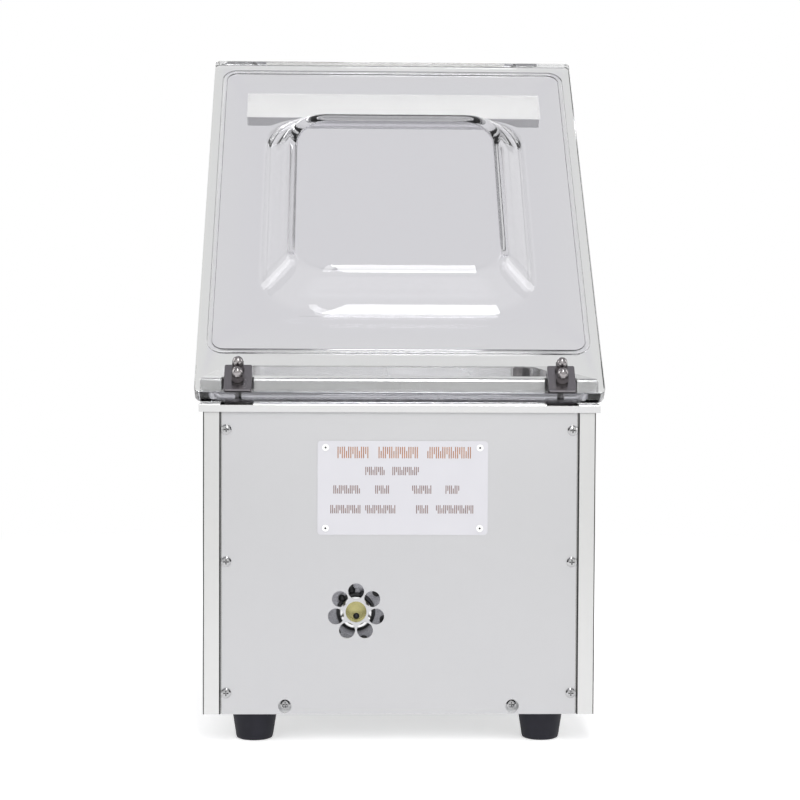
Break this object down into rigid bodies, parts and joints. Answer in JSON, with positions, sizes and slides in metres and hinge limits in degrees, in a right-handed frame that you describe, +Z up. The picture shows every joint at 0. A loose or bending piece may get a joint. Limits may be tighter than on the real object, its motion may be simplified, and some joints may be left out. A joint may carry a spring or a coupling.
{
  "type": "vacuum packing machine",
  "caption": "Tabletop chamber vacuum packing machine with a stainless case, a sloping control panel and a clear domed lid that hinges at the rear.",
  "frame": {"origin": "on the floor, under the centre of the bounding box with the lid open", "axes": "+Z up; -Y is the front with the controls, +Y the rear with the hinge; +X is to the right when facing the controls"},
  "size_m": [0.3376, 0.4901, 0.5961],
  "materials": {
    "satin_steel": "bright satin stainless steel",
    "case_steel": "fine satin stainless sheet",
    "zinc_steel": "zinc plated steel",
    "bright_steel": "bright plated fasteners",
    "plate_metal": "pale anodised plate with printed rows",
    "white_plastic": "white plastic",
    "foot_rubber": "dark rubber",
    "bar_aluminium": "extruded aluminium",
    "release_tape": "brown woven release tape",
    "board_white": "white chamber board",
    "clear_acrylic": "clear acrylic",
    "silicone": "pale silicone",
    "hinge_steel": "dark satin steel",
    "cast_metal": "grey casting",
    "bearing_bronze": "bearing bronze",
    "spring_steel": "spring steel",
    "panel_face": "printed control face",
    "gauge_chrome": "polished bezel",
    "dial_white": "printed dial",
    "clear_glass": "clear glass",
    "needle_black": "black needle",
    "display_dark": "dark red display window",
    "lamp_red": "red lamp lens",
    "key_grey": "light grey key",
    "key_green": "green key",
    "stop_red": "red stop button",
    "black_plastic": "black plastic",
    "rocker_red": "red rocker",
    "motor_paint": "dark motor paint",
    "black_steel": "black oxide steel",
    "sight_brass": "olive brass sight glass",
    "filter_paint": "filter can",
    "board_green": "circuit board",
    "hose_rubber": "suction hose"
  },
  "bodies": {
    "machine": {"chamber_deck": "satin_steel", "chamber_tub": "satin_steel", "side_panel_left": "case_steel", "side_panel_right": "case_steel", "rear_panel": "case_steel", "front_panel": "case_steel", "base_tray": "zinc_steel", "frame_bars": "zinc_steel", "case_screws": "bright_steel", "nameplate": "plate_metal", "nameplate_fixings": "white_plastic", "feet": "foot_rubber", "bar_channel": "bar_aluminium", "air_bladder": "hose_rubber", "bar_guide_post": "bright_steel", "filler_boards": "board_white", "hinge_bearings": "bearing_bronze", "lid_springs": "spring_steel", "control_plate": "panel_face", "gauge_case": "gauge_chrome", "gauge_dial": "dial_white", "gauge_glass": "clear_glass", "display_window": "display_dark", "indicator_lamps": "lamp_red", "switch_surrounds": "black_plastic", "power_inlet": "black_plastic", "fuse_holder": "black_plastic", "pump_body": "cast_metal", "pump_bolts": "black_steel", "oil_sight_glass": "sight_brass", "oil_filler_cap": "black_plastic", "exhaust_filter": "filter_paint", "pump_cradle": "zinc_steel", "pump_mounts": "foot_rubber", "motor_housing": "motor_paint", "fan_cover": "black_steel", "transformer": "cast_metal", "control_board": "board_green", "vacuum_valve": "sight_brass", "suction_hose": "hose_rubber"},
    "lid_assembly": {"lid": "clear_acrylic", "lid_gasket": "silicone", "press_strip_holder": "white_plastic", "press_strip": "silicone", "hinge_leaves": "hinge_steel", "hinge_brackets": "hinge_steel", "hinge_bolts": "bright_steel", "cap_nuts": "bright_steel", "hinge_shaft": "bright_steel", "shaft_levers": "zinc_steel"},
    "bar_assembly": {"seal_bar": "bar_aluminium", "release_tape": "release_tape"},
    "set_key": {"key_set": "key_grey"},
    "down_key": {"key_down": "key_grey"},
    "up_key": {"key_up": "key_grey"},
    "start_key": {"key_start": "key_green"},
    "stop_head": {"stop_button": "stop_red"},
    "rocker": {"power_rocker": "rocker_red"},
    "needle": {"gauge_needle": "needle_black"},
    "rotor": {"motor_rotor": "bright_steel"}
  },
  "joints": [
    {"name": "lid_hinge", "type": "hinge", "parent": "machine", "child": "lid_assembly", "pos_m": [0, 0.20895, 0.2854], "axis": [-1, 0, 0], "range_deg": [-45.5, 0], "stiffness_Nm_per_rad": 2.3, "springref_deg": 73.91, "deforming": ["lid_springs"]},
    {"name": "bar_lift", "type": "slide", "parent": "machine", "child": "bar_assembly", "axis": [0, 0, 1], "range_m": [0, 0.005]},
    {"name": "key_set_press", "type": "slide", "parent": "machine", "child": "set_key", "axis": [0, 0.9681, -0.2507], "range_m": [0, 0.0012], "stiffness_N_per_m": 400, "springref_m": -0.0005},
    {"name": "key_down_press", "type": "slide", "parent": "machine", "child": "down_key", "axis": [0, 0.9681, -0.2507], "range_m": [0, 0.0012], "stiffness_N_per_m": 400, "springref_m": -0.0005},
    {"name": "key_up_press", "type": "slide", "parent": "machine", "child": "up_key", "axis": [0, 0.9681, -0.2507], "range_m": [0, 0.0012], "stiffness_N_per_m": 400, "springref_m": -0.0005},
    {"name": "key_start_press", "type": "slide", "parent": "machine", "child": "start_key", "axis": [0, 0.9681, -0.2507], "range_m": [0, 0.0012], "stiffness_N_per_m": 400, "springref_m": -0.0005},
    {"name": "stop_press", "type": "slide", "parent": "machine", "child": "stop_head", "axis": [0, 0.9681, -0.2507], "range_m": [0, 0.0045], "stiffness_N_per_m": 600, "springref_m": -0.001},
    {"name": "power_rocker_tip", "type": "hinge", "parent": "machine", "child": "rocker", "pos_m": [0.092, -0.22975, 0.15163], "axis": [1, 0, 0], "range_deg": [-14, 0]},
    {"name": "gauge_needle_turn", "type": "hinge", "parent": "machine", "child": "needle", "pos_m": [-0.092, -0.21913, 0.17987], "axis": [0, -0.9681, 0.2507], "range_deg": [-270, 0], "stiffness_Nm_per_rad": 0.002, "springref_deg": 17.19},
    {"name": "motor_spin", "type": "hinge", "parent": "machine", "child": "rotor", "pos_m": [0.035, 0.05, 0.108], "axis": [0, 1, 0], "continuous": true}
  ]
}
